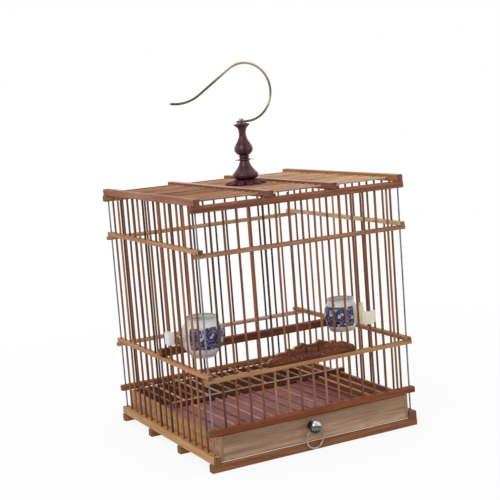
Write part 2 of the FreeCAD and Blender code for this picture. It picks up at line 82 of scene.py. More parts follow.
# A material, or the world, on its way with its shader. A string given to a socket is a colour
class Finish:
    def __init__(self, name, store=bpy.data.materials, shader="Principled BSDF", **plain):
        self.made = store.new(name)
        self.made.use_nodes = True
        self.tree = self.made.node_tree
        self.shader = self.tree.nodes[shader]
        self.feed(self.shader, plain)

    def feed(self, node, sockets):
        for key, value in sockets.items():
            socket = node.inputs[key]
            if isinstance(value, Flow):
                self.tree.links.new(value.socket, socket)
            else:
                socket.default_value = srgb(value) if isinstance(value, str) else value

    def node(self, kind, settings, sockets, out=0):
        made = self.tree.nodes.new(kind)
        for key, value in settings.items():
            if key == "stops":
                ramp = made.color_ramp
                while len(ramp.elements) < len(value):
                    ramp.elements.new(1.0)
                for stop, (place, colour) in zip(ramp.elements, value):
                    stop.position = place
                    stop.color = srgb(colour)
            else:
                setattr(made, key, value)
        self.feed(made, sockets)
        return Flow(self, made.outputs[out])

    def maths(self, operation, first, second=0.0):
        return self.node("ShaderNodeMath", {"operation": operation}, {0: first, 1: second})

    def mix(self, share, first, second):
        return self.node("ShaderNodeMix", {"data_type": "RGBA"}, {0: share, 6: first, 7: second}, 2)

    def ramp(self, value, *stops):
        return self.node("ShaderNodeValToRGB", {"stops": stops}, {0: value})

    # Rises smoothly from 0 to 1 between two values
    def step(self, value, low, high):
        settings = {"interpolation_type": "SMOOTHSTEP"}
        return self.node("ShaderNodeMapRange", settings, {0: value, 1: low, 2: high, 3: 0.0, 4: 1.0})

    def axis(self, vector, letter):
        return self.node("ShaderNodeSeparateXYZ", {}, {0: vector}, letter)

    def place(self):
        return self.node("ShaderNodeTexCoord", {}, {}, "Object")

    # How far the surface faces along one of the piece's own axes, from -1 to 1
    def facing(self, letter):
        return self.axis(self.node("ShaderNodeTexCoord", {}, {}, "Normal"), letter)

    def grain(self, place, scale, detail, rough=0.55):
        sockets = {"Vector": place, "Scale": scale, "Detail": detail, "Roughness": rough}
        return self.node("ShaderNodeTexNoise", {}, sockets)

    # Grain that is drawn out one way: slow along, fine across
    def fibres(self, along, slow, fine, detail, rough=0.55, shift=(0, 0, 0)):
        stretch = tuple(slow if letter == along else fine for letter in "XYZ")
        sockets = {0: self.place(), 1: stretch, 2: shift}
        drawn = self.node("ShaderNodeVectorMath", {"operation": "MULTIPLY_ADD"}, sockets)
        return self.grain(drawn, 1.0, detail, rough)

    # 1 for what the camera sees, straight or in metal and glass, and 0 for plain light
    def seen(self):
        camera, glossy, glass = [self.node("ShaderNodeLightPath", {}, {}, name)
                                 for name in ("Is Camera Ray", "Is Glossy Ray", "Is Transmission Ray")]
        return self.maths("MINIMUM", camera + glossy + glass, 1.0)

    def bump(self, height, strength, depth):
        sockets = {"Height": height, "Strength": strength, "Distance": depth}
        self.feed(self.shader, {"Normal": self.node("ShaderNodeBump", {}, sockets)})

    def coat(self, body, rough):
        self.feed(self.shader, {"Base Color": body, "Roughness": rough})
        return self.made


# Sawn and planed bamboo: long fibres, rusty patches, and dark pores on the end grain
def bambooFinish(name, along, pale, deep, rust, topHighlight=None, endTint="6c4a3a"):
    made = Finish(name, **{"Specular IOR Level": 0.22})
    shift = [dice.uniform(0, 9) for _ in range(3)]
    streak = made.fibres(along, 11, 330, 4, shift=shift)
    fibre = made.fibres(along, 55, 2300, 2, shift=shift)
    patch = made.fibres(along, 17, 45, 3, shift=shift)
    body = made.ramp(streak, (0.30, deep), (0.66, pale))
    body = made.mix(made.step(patch, 0.46, 0.70) * 0.45, body, rust)
    body = made.mix(made.step(fibre, 0.60, 0.36) * 0.32, body, "3a2012")
    # A top colour, if given, is a painted highlight on upward faces, stronger along the streaks
    if topHighlight:
        topHighlightShare = made.step(made.facing("Z"), 0.4, 0.8) * (0.25 + 0.7 * streak)
        body = made.mix(topHighlightShare, body, topHighlight)
    endGrain = made.step(made.maths("ABSOLUTE", made.facing(along)), 0.6, 0.9)
    pores = made.node("ShaderNodeTexVoronoi", {}, {"Vector": made.place(), "Scale": 1500.0})
    cut = made.mix(made.step(pores, 0.25, 0.5), "26140c", endTint)
    body = made.mix(endGrain * 0.85, body, cut)
    made.bump(fibre + streak * 0.6, 0.35, 0.15 * mm)
    return made.coat(body, 0.44 + 0.2 * fibre)


# Drawn bamboo sticks. Each has its own tone, kept on its points, and a last number, if given, is painted light
# that makes them paler along their length
def stickFinish(name, along, dark, middle, pale, lightAlong=0.0):
    made = Finish(name, **{"Specular IOR Level": 0.25})
    tone = made.node("ShaderNodeAttribute", {"attribute_name": "tone"}, {}, "Fac")
    fibre = made.fibres(along, 40, 2600, 2)
    slow = made.fibres(along, 16, 60, 3)
    shade = tone + (slow - 0.5) * 0.5 + made.axis(made.place(), along) * lightAlong
    body = made.ramp(shade, (0.12, dark), (0.52, middle), (0.92, pale))
    body = made.mix(made.step(fibre, 0.58, 0.36) * 0.4, body, "33190f")
    made.bump(fibre, 0.3, 0.1 * mm)
    return made.coat(body, 0.40 + 0.2 * fibre)


# Close dark wood under a polish. A top colour, if given, is a painted highlight on upward faces
def polishedFinish(name, along, dark, warm, gloss, polish, topHighlight=None):
    made = Finish(name, **{"Specular IOR Level": 0.2, "Coat Roughness": 0.14, "Coat Weight": polish})
    figure = made.fibres(along, 26, 210, 5, 0.6)
    pore = made.fibres(along, 110, 1700, 2)
    body = made.ramp(figure, (0.32, dark), (0.68, warm))
    body = made.mix(made.step(pore, 0.44, 0.30) * 0.55, body, "1d0d0a")
    if topHighlight:
        body = made.mix(made.step(made.facing("Z"), 0.1, 0.6) * 0.8, body, topHighlight)
    made.bump(pore, 0.2, 0.1 * mm)
    return made.coat(body, gloss + 0.18 * figure)


# A sawn plank with a long figure. It darkens upwards as painted shade under the rails above, and the face
# towards the inside is darkened as painted shade
def plankFinish(name, along, pale, deep, line, inside, upwardShade=0.25, insideShade="54301e"):
    made = Finish(name, **{"Specular IOR Level": 0.22})
    place = made.place()
    bend = made.fibres(along, 9, 40, 2)
    figure = made.fibres(along, 7, 190, 5, 0.62)
    fibre = made.fibres(along, 38, 1500, 3)
    rings = made.maths("FRACT", figure * 5.0 + bend * 2.0)
    body = made.ramp(figure, (0.30, deep), (0.62, pale))
    body = made.mix(made.step(rings, 0.72, 1.0) * 0.38, body, line)
    body = made.mix(made.step(fibre, 0.52, 0.32) * 0.35, body, line)
    # Darker upwards: painted shade under the rails above
    height = made.axis(place, "Z") + (bend - 0.5) * 0.02
    body = made.mix(made.step(height, 10 * mm, 34 * mm) * upwardShade, body, line)
    # Greyer towards the left end
    if along == "X":
        greyerLeft = made.step(made.axis(place, "X") + (bend - 0.5) * 0.1, -5 * mm, -120 * mm)
        body = made.mix(greyerLeft * 0.3, body, "6c5a42")
    # The face towards the inside is darkened, painted shade
    towards = -0.5 if inside[0] == "-" else 0.5
    shadedInside = made.step(made.facing(inside[1]), towards, towards * 1.6)
    body = made.mix(shadedInside * 0.8, body, insideShade)
    if along == "Y":  # the front ends go with the front plank
        body = made.mix(made.step(made.facing("Y"), -0.6, -0.9), body, "8f745a")
    made.bump(fibre + rings * 0.3, 0.3, 0.12 * mm)
    return made.coat(body, 0.50 + 0.2 * fibre)


# Metal with dull clouds, which stand for wear and, where strong and large as on the tie rods, for painted dark
# reflection. A share worked out from the place, if given, dulls it too
def metalFinish(name, colour, dull, gloss, wearAndReflection=0.3, scale=900.0, darkPlaces=None):
    made = Finish(name, Metallic=1.0)
    place = made.place()
    cloud = made.grain(place, scale * 0.25, 4)
    speck = made.grain(place, scale * 3, 2)
    wearAndShade = made.step(cloud, 0.42, 0.72) * wearAndReflection
    if darkPlaces:
        wearAndShade = made.maths("MAXIMUM", wearAndShade, darkPlaces(made, place))
    body = made.mix(wearAndShade, colour, dull)
    made.bump(speck, 0.08, 0.05 * mm)
    return made.coat(body, gloss + 0.16 * cloud)


# A new object. Edges that turn by more than sharp, in degrees, stay crisp
def addMesh(name, mesh, finish, sharp=35):
    work = bmesh.new()
    work.from_mesh(mesh)
    bmesh.ops.recalc_face_normals(work, faces=work.faces)
    work.to_mesh(mesh)
    work.free()
    mesh.shade_smooth()
    mesh.set_sharp_from_angle(angle=math.radians(sharp))
    mesh.materials.append(finish)
    piece = bpy.data.objects.new(name, mesh)
    scene.collection.objects.link(piece)
    return piece


def addPiece(name, points, faces, finish, sharp=35):
    mesh = bpy.data.meshes.new(name)
    mesh.from_pydata(points, [], faces)
    return addMesh(name, mesh, finish, sharp)


# A node's lowest corner, middle and size
def boxOf(node):
    low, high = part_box(node)
    return low, (low + high) / 2, high - low


# Puts a finished piece on its body, in place of its CAD nodes
def seat(piece, body, slot, *nodes):
    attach(piece, body)
    if nodes:
        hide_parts(*nodes)


# Joins a row of closed rings into a skin, with its ends capped
def skin(rings, capped=True):
    points = [point for ring in rings for point in ring]
    count = len(rings[0])
    faces = []
    for row in range(len(rings) - 1):
        for side in range(count):
            after = (side + 1) % count
            faces.append((row * count + side, row * count + after,
                          (row + 1) * count + after, (row + 1) * count + side))
    if capped:
        faces.append(tuple(range(count)))
        faces.append(tuple(range(len(points) - count, len(points))))
    return points, faces


# Adds one skin to a mesh of several
def gather(points, faces, morePoints, moreFaces):
    faces += [tuple(corner + len(points) for corner in face) for face in moreFaces]
    points += morePoints


def circle(count):
    return [2 * math.pi * side / count for side in range(count)]


# A smooth run through given points
def smoothRun(points, steps):
    ends = [points[0]] + list(points) + [points[-1]]
    run = []
    for a, b, c, d in zip(ends, ends[1:], ends[2:], ends[3:]):
        for number in range(steps):
            t = number / steps
            run.append(tuple(0.5 * (2 * q + (r - p) * t + (2 * p - 5 * q + 4 * r - s) * t * t
                                    + (3 * q - p - 3 * r + s) * t ** 3)
                             for p, q, r, s in zip(a, b, c, d)))
    return run + [tuple(points[-1])]


# A turned piece round Z. carve may change the radius and height at each angle
def turnedMesh(profile, sides, carve=None):
    rings = []
    for radius, z in profile:
        ring = []
        for angle in circle(sides):
            r, height = carve(angle, radius, z) if carve else (radius, z)
            ring.append((r * math.cos(angle), r * math.sin(angle), height))
        rings.append(ring)
    return skin(rings)


# An outline of shares, or of millimetres, brought to size
def sized(outline, wide, tall):
    return [(x * wide, z * tall) for x, z in outline]


# A tube along points, with a radius at each
def tubeMesh(path, radii, sides):
    path = [Vector(point) for point in path]
    rings = []
    side = (path[1] - path[0]).orthogonal().normalized()
    for number, point in enumerate(path):
        before = path[max(number - 1, 0)]
        after = path[min(number + 1, len(path) - 1)]
        run = (after - before).normalized()
        side = (side - run * side.dot(run)).normalized()
        other = run.cross(side)
        rings.append([point + (side * math.cos(angle) + other * math.sin(angle)) * radii[number]
                      for angle in circle(sides)])
    return skin(rings)


# Places along a length, even in the middle and close together at both ends
def stations(length, ends, steps):
    middle = [length * number / steps for number in range(1, steps)]
    return ends + middle + [length - place for place in reversed(ends)]


# Rounds both ends of a tube: shares of its radius at the first and last few points
def roundEnds(radii, radius, shares=(0.35, 0.75, 0.94)):
    for number, share in enumerate(shares):
        radii[number] = radii[-1 - number] = radius * share
    return radii


# A closed loop of wire that starts at +X and turns towards across. thick is the wire's reach along the axis
def loopMesh(middle, across, axis, radius, wire, thick, steps, sides):
    rings = []
    for angle in circle(steps):
        out = Vector((math.cos(angle), 0, 0)) + across * math.sin(angle)
        rings.append([middle + out * (radius + wire * math.cos(turn)) + axis * (thick * math.sin(turn))
                      for turn in circle(sides)])
    points, faces = skin(rings + [rings[0]], capped=False)
    count = steps * sides
    return points[:count], [tuple(corner % count for corner in face) for face in faces]


# What a curve or a modifier comes to, as a plain mesh
def evaluated(holder):
    bpy.context.view_layer.update()
    return bpy.data.meshes.new_from_object(holder.evaluated_get(bpy.context.evaluated_depsgraph_get()))


# A flat piece with shaped edges and openings, cut from a board of the given thickness. Each outline is a
# list of points (x, y, handle), and the first one is the outside
def cutoutMesh(name, outlines, thickness, edge):
    curve = bpy.data.curves.new(name, "CURVE")
    curve.dimensions = "2D"
    curve.fill_mode = "BOTH"
    curve.extrude = thickness / 2 - edge
    curve.bevel_depth = edge
    curve.bevel_resolution = 2
    curve.offset = -edge
    curve.resolution_u = 5
    for outline in outlines:
        spline = curve.splines.new("BEZIER")
        spline.bezier_points.add(len(outline) - 1)
        spline.use_cyclic_u = True
        for knot, (x, y, handle) in zip(spline.bezier_points, outline):
            knot.co = (x, y, 0)
            knot.handle_left_type = handle
            knot.handle_right_type = handle
    holder = bpy.data.objects.new(name, curve)
    scene.collection.objects.link(holder)
    mesh = evaluated(holder)
    bpy.data.objects.remove(holder)
    work = bmesh.new()
    work.from_mesh(mesh)
    bmesh.ops.remove_doubles(work, verts=work.verts, dist=0.002 * mm)
    work.to_mesh(mesh)
    work.free()
    return mesh


def roundHole(x, y, radius):
    return [(x + radius * math.cos(angle), y + radius * math.sin(angle), "AUTO") for angle in circle(8)]


upright = Matrix.Rotation(math.pi / 2, 4, "X")  # its outline's x, y to X, Z


# Rails, slats, boards and the perch are straight lengths with eased edges, a little uneven by hand. At each
# end, given as shares of the ease, the corners draw in
railCut = {"ease": 0.7 * mm, "wobble": 0.10 * mm, "waves": 21, "step": 9 * mm, "sharp": 60,
           "end": [(0.0, 0.85), (0.3, 0.28), (1.0, 0.0)]}


def railPiece(node, along, finish, slot, body="cage", ease=railCut["ease"], wobble=railCut["wobble"]):
    low, middle, size = boxOf(node)
    run = "XYZ".index(along)
    u, v = [place for place in range(3) if place != run]
    half = size / 2
    length = size[run]
    count = max(4, round(length / railCut["step"]))
    ends = [(ease * share, drawn) for share, drawn in railCut["end"]]
    sections = ends + [(ease + (length - 2 * ease) * number / count, 0.0) for number in range(1, count)]
    sections += [(length - distance, drawn) for distance, drawn in reversed(ends)]
    seed = dice.uniform(0, 50)
    rings = []
    for distance, drawn in sections:
        sway = [noise.noise(Vector((distance * railCut["waves"], seed, row))) * wobble for row in (0.5, 7.5)]
        reach = ease * (1 - drawn)
        ring = []
        for corner, (signU, signV) in enumerate(((1, 1), (-1, 1), (-1, -1), (1, -1))):
            for angle in (0, math.pi / 4, math.pi / 2):
                turn = angle + corner * math.pi / 2
                point = Vector((0, 0, 0))
                point[run] = low[run] + distance
                point[u] = middle[u] + sway[0] + signU * (half[u] - ease) + reach * math.cos(turn)
                point[v] = middle[v] + sway[1] + signV * (half[v] - ease) + reach * math.sin(turn)
                ring.append(point)
        rings.append(ring)
    piece = addPiece(node + ".shaped", *skin(rings), finish, railCut["sharp"])
    piece.modifiers.new("flat faces", "WEIGHTED_NORMAL")
    seat(piece, body, slot, node)


# Way each length runs, then its pale, deep and rusty tones, with a painted highlight on top or its own end
# grain
baseLooks = {
    "front_bottom_rail": ("X", "a26d45", "6c3e23", "824422"),
    "back_bottom_rail": ("X", "b57a4c", "8a5430", "9a5230"),
    "front_bottom_slat": ("X", "b4773f", "84542c", "95542c"),
    "back_bottom_slat": ("X", "b4773f", "84542c", "95542c"),
    "left_bottom_rail": ("Y", "d2a475", "ac7747", "be8052"),
    "right_bottom_rail": ("Y", "a0704a", "744628", "80492e"),
    "front_drawer_rail": ("X", "935028", "663114", "753419"),
    "back_drawer_rail": ("X", "a8683f", "7c4727", "8a4628"),
}
# back_lower_rail and right_upper_rail are paler as painted light. floor_mid_rail is dark as painted shade on
# its front, with a painted highlight on top
railLooks = {
    "front_lower_rail": ("X", "bc9364", "996a3f", "a97142"),
    "back_lower_rail": ("X", "dcb89c", "ac846a", "bd8c74"),
    "left_lower_rail": ("Y", "c79367", "a46d43", "b1744f", None, "5a3d2e"),
    "right_lower_rail": ("Y", "c08e6a", "946448", "a26a50"),
    "front_upper_rail": ("X", "ac805e", "805339", "8e5538"),
    "back_upper_rail": ("X", "d2a47c", "9e704e", "b07654"),
    "left_upper_rail": ("Y", "c39469", "9c6b46", "a97151", None, "392a24"),
    "right_upper_rail": ("Y", "eed0a8", "d0a880", "d8ac82"),
    "floor_mid_rail": ("X", "7a4530", "4c2415", "562617", "c8a493"),
}
topLooks = {
    "front_top_rail": ("X", "a0654b", "5a2d1e", "6c3020"),
    "back_top_rail": ("X", "bd8a55", "92622f", "a1653a"),
    "left_top_rail": ("Y", "ae755a", "804934", "8a4732"),
    "right_top_rail": ("Y", "b4824e", "8e5f33", "a06a3c"),
    "left_roof_slat": ("Y", "985f47", "6f3f29", "7b412d", "cda28c"),
    "right_roof_slat": ("Y", "945f45", "6f3f29", "7b412d", "cda28c"),
}
for looks, slot in ((baseLooks, "base_bamboo"), (railLooks, "rail_bamboo"), (topLooks, "top_bamboo")):
    for node, (along, *tones) in looks.items():
        railPiece(node, along, bambooFinish(node + ".bamboo", along, *tones), slot)
print("rails and slats shaped")


# Bars and rods: rows of round sticks, all as thick as the bars of the left side
stickCut = {"sides": 10, "step": 9 * mm, "bow": 0.35 * mm, "uneven": 0.03, "waves": 40,
            "ends": [0.0, 0.2 * mm, 0.5 * mm], "endShares": (0.7, 0.92)}
hexCorner = 1 / math.cos(math.pi / 6)  # a six-sided stick is wider over its corners by this
barRadius = boxOf("left_bars")[2].x / 2


def stickRow(node, run, spread, count, tones, finish, slot, body="cage"):
    low, middle, size = boxOf(node)
    lie, row = "XYZ".index(run), "XYZ".index(spread)
    other = 3 - lie - row
    halfWidth = barRadius if (run == "Z" and spread == "X") else barRadius * hexCorner
    first = low[row] + halfWidth
    gap = (size[row] - 2 * halfWidth) / (count - 1)
    length = size[lie]
    steps = max(6, round(length / stickCut["step"]))
    distances = stations(length, stickCut["ends"], steps)
    points, faces, toneValues = [], [], []
    for number in range(count):
        start = middle.copy()
        start[row] = first + gap * number
        start[lie] = low[lie]
        lean = dice.uniform(0, 2 * math.pi)
        bow = stickCut["bow"] * dice.uniform(-1, 1)
        seed = dice.uniform(0, 90)
        path, radii = [], []
        for distance in distances:
            point = start.copy()
            point[lie] += distance
            rise = bow * math.sin(math.pi * distance / length)
            point[row] += rise * math.cos(lean)
            point[other] += rise * math.sin(lean)
            path.append(point)
            wave = noise.noise(Vector((distance * stickCut["waves"], seed, 0)))
            radii.append(barRadius * (1 + stickCut["uneven"] * wave))
        roundEnds(radii, barRadius, stickCut["endShares"])
        stick = tubeMesh(path, radii, stickCut["sides"])
        gather(points, faces, *stick)
        toneValues += [dice.uniform(*tones)] * len(stick[0])
    piece = addPiece(node + ".round", points, faces, finish)
    tone = piece.data.attributes.new("tone", "FLOAT", "POINT")
    tone.data.foreach_set("value", toneValues)
    seat(piece, body, slot, node)


# Way each row of bars spreads, how many there are, and their tones from dark, 0, to pale, 1
barRows = {
    "left_bars": ("Y", 15, (0.12, 0.70)),
    "right_bars": ("Y", 15, (0.32, 0.92)),
    "back_bars": ("X", 15, (0.10, 0.84)),
    "front_left_bars": ("X", 4, (0.10, 0.66)),
    "front_right_bars": ("X", 4, (0.28, 0.82)),
    "front_lower_bars": ("X", 7, (0.36, 0.72)),
    "door_bars": ("X", 7, (0.04, 0.60)),
}
barBrown = stickFinish("bar brown", "Z", "45291d", "8c5634", "c08e61")
# The roof rods grow paler towards +X, painted light
roofTan = stickFinish("roof tan", "X", "744a30", "b48260", "dcb490", 2.2)
floorPink = stickFinish("floor pink", "Y", "7c4c38", "b4866a", "d0a88c")
for node, row in barRows.items():
    stickRow(node, "Z", *row, barBrown, "bar_bamboo", "door" if node == "door_bars" else "cage")
stickRow("roof_rods", "X", "Y", 16, (0.40, 0.74), roofTan, "rod_bamboo")
stickRow("floor_rods", "Y", "X", 15, (0.04, 0.88), floorPink, "rod_bamboo")
print("bars and rods drawn")


# Straight steel wire with eased ends. ease is the share of its length that each end takes
wireCut = {"sides": 12, "ends": (0.0, 0.2, 0.5, 1.0)}


def straightWire(node, along, across, finish, ease, steps):
    low, middle, size = boxOf(node)
    run, wide = "XYZ".index(along), "XYZ".index(across)
    path = []
    for share in stations(1.0, [ease * part for part in wireCut["ends"]], steps):
        point = middle.copy()
        point[run] = low[run] + size[run] * share
        path.append(point)
    radius = size[wide] / 2
    wire = tubeMesh(path, roundEnds([radius] * len(path), radius), wireCut["sides"])
    seat(addPiece(node + ".wire", *wire, finish), "cage", "steel_wire", node)


# The tie rods' large dark clouds are painted reflection: darker stretches for the dark that they mirror
tieSteel = metalFinish("tie rod steel", "80848a", "3c4047", 0.24, wearAndReflection=0.75, scale=200.0)
for corner in ("front_left", "back_left", "front_right", "back_right"):
    straightWire(corner + "_tie_rod", "Z", "X", tieSteel, ease=0.006, steps=20)


# Perch and drawer boards. For each board: way it runs, pale, deep and line tones, the side that faces in, how
# far painted shade darkens it upwards, and the colour of painted shade inside
perchBrown = polishedFinish("perch brown", "X", "42180b", "7e3b1f", 0.42, 0.1)
railPiece("perch", "X", perchBrown, "perch_wood", "perch", ease=1.1 * mm, wobble=0.18 * mm)
plankLooks = {
    "drawer_front": ("X", "c6a78a", "8e6c52", "5f3a24", "+Y", 0.58),
    "drawer_left_side": ("Y", "d3a678", "aa7b4e", "895934", "+X"),
    "drawer_right_side": ("Y", "d3a678", "aa7b4e", "895934", "-X", 0.25, "8a5c40"),
    "drawer_back": ("X", "bb966c", "946c46", "785034", "-Y"),
}
for node, (along, *look) in plankLooks.items():
    railPiece(node, along, plankFinish(node + ".plank", along, *look), "drawer_wood", "drawer",
              ease=0.5 * mm, wobble=0.05 * mm)


# The drawer's floor is a thin board, painted on top
def trayFinish():
    made = Finish("tray mauve", **{"Specular IOR Level": 0.25})
    cloud = made.grain(made.place(), 26.0, 5, 0.65)
    weave = made.fibres("X", 60, 900, 2)
    scuff = made.fibres("Y", 14, 90, 5, 0.7)
    body = made.ramp(cloud, (0.30, "965b62"), (0.70, "bb858a"))
    body = made.mix(made.step(scuff, 0.62, 0.80) * 0.4, body, "d4acb0")
    body = made.mix(made.step(made.facing("Z"), 0.6, 0.2), body, "cfc4b8")
    made.bump(weave, 0.25, 0.1 * mm)
    return made.coat(body, 0.5 + 0.2 * cloud)


railPiece("drawer_bottom", "X", trayFinish(), "tray_board", "drawer", ease=0.35 * mm, wobble=0.04 * mm)
print("perch and drawer boards planed")


# Door plate: a pierced and carved crest on the bars that slide. Places are shares of its half width and its
# height. A hole has its radius, a slot its half width, and a curl its radius and the way it turns
plate = {
    "outline": [(1.0, 0.0, "VECTOR"), (1.0, 0.24, "VECTOR"), (0.95, 0.42, "AUTO"), (0.83, 0.46, "VECTOR"),
                (0.80, 0.60, "AUTO"), (0.69, 0.69, "AUTO"), (0.60, 0.66, "VECTOR"), (0.56, 0.79, "AUTO"),
                (0.49, 0.83, "AUTO"), (0.42, 0.71, "VECTOR"), (0.36, 0.86, "AUTO"), (0.27, 0.88, "VECTOR"),
                (0.235, 0.98, "AUTO"), (0.17, 1.0, "AUTO"), (0.09, 0.86, "VECTOR")],
    "holes": [(0.43, 0.28, 1.25), (0.24, 0.20, 1.2), (0.64, 0.34, 1.15), (0.80, 0.22, 0.8)],
    "slot": (0.14, 0.30, 0.70, 0.75),
    "curls": [(0.90, 0.26, 1.7, 1), (0.72, 0.50, 2.0, -1), (0.53, 0.60, 2.2, 1), (0.33, 0.66, 2.2, -1),
              (0.21, 0.84, 1.5, 1), (0.07, 0.60, 1.9, -1), (0.54, 0.22, 1.7, -1), (0.34, 0.34, 1.6, 1),
              (0.72, 0.17, 1.4, 1), (0.06, 0.22, 1.6, 1)],
    "edge": 0.45 * mm, "curlWire": 0.5 * mm,
    "curlSteps": 25, "curlTurn": 1.8 * math.pi, "curlStart": 0.6, "curlTighter": 0.72, "curlSides": 8,
}
plateLow, plateMiddle, plateSize = boxOf("door_plate")
# The crest's upward faces get a painted highlight, and the scrolls' paler wood is a painted highlight on the
# carved ridges
plateWood = polishedFinish("door plate brown", "X", "2d1009", "783b1d", 0.42, 0.05, "ab774f")
scrollWood = polishedFinish("door scroll brown", "X", "542812", "925731", 0.40, 0.05)


def platePoint(x, z):
    return (plateSize.x / 2 * x, plateSize.z * z)


rising = [(*platePoint(x, z), handle) for x, z, handle in plate["outline"]]
outlines = [rising + [(-x, z, handle) for x, z, handle in reversed(rising)]]
slotX, slotLow, slotHigh, slotHalf = plate["slot"]
for side in (-1, 1):
    for x, z, radius in plate["holes"]:
        outlines.append(roundHole(*platePoint(side * x, z), radius * mm))
    x, low = platePoint(side * slotX, slotLow)
    high = plateSize.z * slotHigh
    width = slotHalf * mm
    outlines.append([(x - width, low, "VECTOR"), (x + width, low, "VECTOR"), (x + width, high, "AUTO"),
                     (x, high + width, "AUTO"), (x - width, high, "AUTO")])
plateMesh = cutoutMesh("door crest", outlines, plateSize.y, plate["edge"])
plateMesh.transform(Matrix.Translation((0, plateMiddle.y, plateLow.z)) @ upright)
seat(addMesh("door_plate.crest", plateMesh, plateWood), "door", "plate_wood", "door_plate")

# Scrolls stand a little proud of both faces
scrollPoints, scrollFaces = [], []
for face in (plateLow.y, plateLow.y + plateSize.y):
    for side in (-1, 1):
        for x, z, size, hand in plate["curls"]:
            centreX, centreZ = platePoint(side * x, z)
            path = []
            for number in range(plate["curlSteps"] + 1):
                share = number / plate["curlSteps"]
                turn = side * (plate["curlTurn"] * share * hand - plate["curlStart"])
                spread = size * mm * (1 - plate["curlTighter"] * share)
                path.append((centreX + spread * math.cos(turn), face,
                             plateLow.z + centreZ + spread * math.sin(turn)))
            radii = roundEnds([plate["curlWire"]] * len(path), plate["curlWire"])
            gather(scrollPoints, scrollFaces, *tubeMesh(path, radii, plate["curlSides"]))
seat(addPiece("door_plate.scrolls", scrollPoints, scrollFaces, scrollWood), "door", "plate_wood")
print("door crest cut and carved")


# Drawer knob, a ball on a turned foot with an eye below it for the ring, in millimetres
knob = {
    "foot": [(0.02, 0.0), (5.4, 0.0), (5.9, 0.15), (6.0, 0.5), (5.8, 0.95), (4.6, 1.3)],
    "neck": (3.2, 1.5), "base": 1.9, "steps": 24, "sides": 48,
    "eyeWide": 3.0, "eyeHalf": 1.8, "eyeBelow": 2.2, "eyeEdge": 0.3, "hole": 1.3,
}


# Chrome with painted reflection: bright on top, dark below and darker to one side, in clouds. The piece lies on
# its side, with its Y upwards
def chromeFinish():
    made = Finish("knob chrome", Metallic=1.0)
    cloud = made.grain(made.place(), 70.0, 2)
    shade = made.facing("Y") * 0.42 + made.facing("X") * 0.12 + cloud
    body = made.ramp(shade, (0.24, "302f31"), (0.45, "787878"), (0.56, "42464d"), (0.72, "b9b8b6"),
                     (0.92, "e0e0de"))
    return made.coat(body, 0.08 + 0.1 * cloud)


knobChrome = chromeFinish()
ringSteel = metalFinish("ring steel", "b4a99e", "564a42", 0.2, wearAndReflection=0.8, scale=420.0)
knobLow, knobMiddle, knobSize = boxOf("drawer_knob")
knobRadius = knobSize.x / 2
knobZ = knobLow.z + knobSize.z - knobRadius
knobLength = knobSize.y / mm
ballRadius = knobRadius / mm
ballHalf = (knobLength - knob["base"]) / 2
ballFrom = math.acos(knob["neck"][0] / ballRadius)
knobProfile = knob["foot"] + [knob["neck"]]
for number in range(knob["steps"] + 1):
    angle = -ballFrom + (ballFrom + math.pi / 2) * number / knob["steps"]
    knobProfile.append((max(ballRadius * math.cos(angle), knob["foot"][0][0]),
                        knobLength - ballHalf + ballHalf * math.sin(angle)))
turnedKnob = turnedMesh(sized(knobProfile, mm, mm), knob["sides"])
knobPiece = addPiece("drawer_knob.turned", *turnedKnob, knobChrome)
knobPiece.matrix_world = Matrix.Translation((knobMiddle.x, knobLow.y + knobSize.y, knobZ)) @ upright
seat(knobPiece, "drawer", "knob_chrome", "drawer_knob")

_, ringMiddle, ringSize = boxOf("drawer_ring")
ringWire = ringSize.y / 2
ringRadius = ringSize.x / 2 - ringWire
pivotZ = ringMiddle.z + ringRadius
eyeHalf = knob["eyeHalf"] * mm
eyeOutline = [(-eyeHalf, knobZ, "VECTOR"), (-eyeHalf, pivotZ, "AUTO"),
              (0, pivotZ - knob["eyeBelow"] * mm, "AUTO"),
              (eyeHalf, pivotZ, "AUTO"), (eyeHalf, knobZ, "VECTOR")]
eyeMesh = cutoutMesh("ring eye", [eyeOutline, roundHole(0, pivotZ, knob["hole"] * mm)],
                     knob["eyeWide"] * mm, knob["eyeEdge"] * mm)
sideways = Matrix(((0, 0, 1, 0), (1, 0, 0, 0), (0, 1, 0, 0), (0, 0, 0, 1)))  # its outline's x, y to Y, Z
eyeMesh.transform(Matrix.Translation((knobMiddle.x, ringMiddle.y, 0)) @ sideways)
seat(addMesh("drawer_knob.eye", eyeMesh, knobChrome), "drawer", "knob_chrome")

loop = loopMesh(ringMiddle, Vector((0, 0, 1)), Vector((0, 1, 0)), ringRadius, ringWire, ringWire,
                steps=72, sides=12)
seat(addPiece("drawer_ring.wire", *loop, ringSteel), "ring", "ring_wire", "drawer_ring")
print("knob and ring turned")


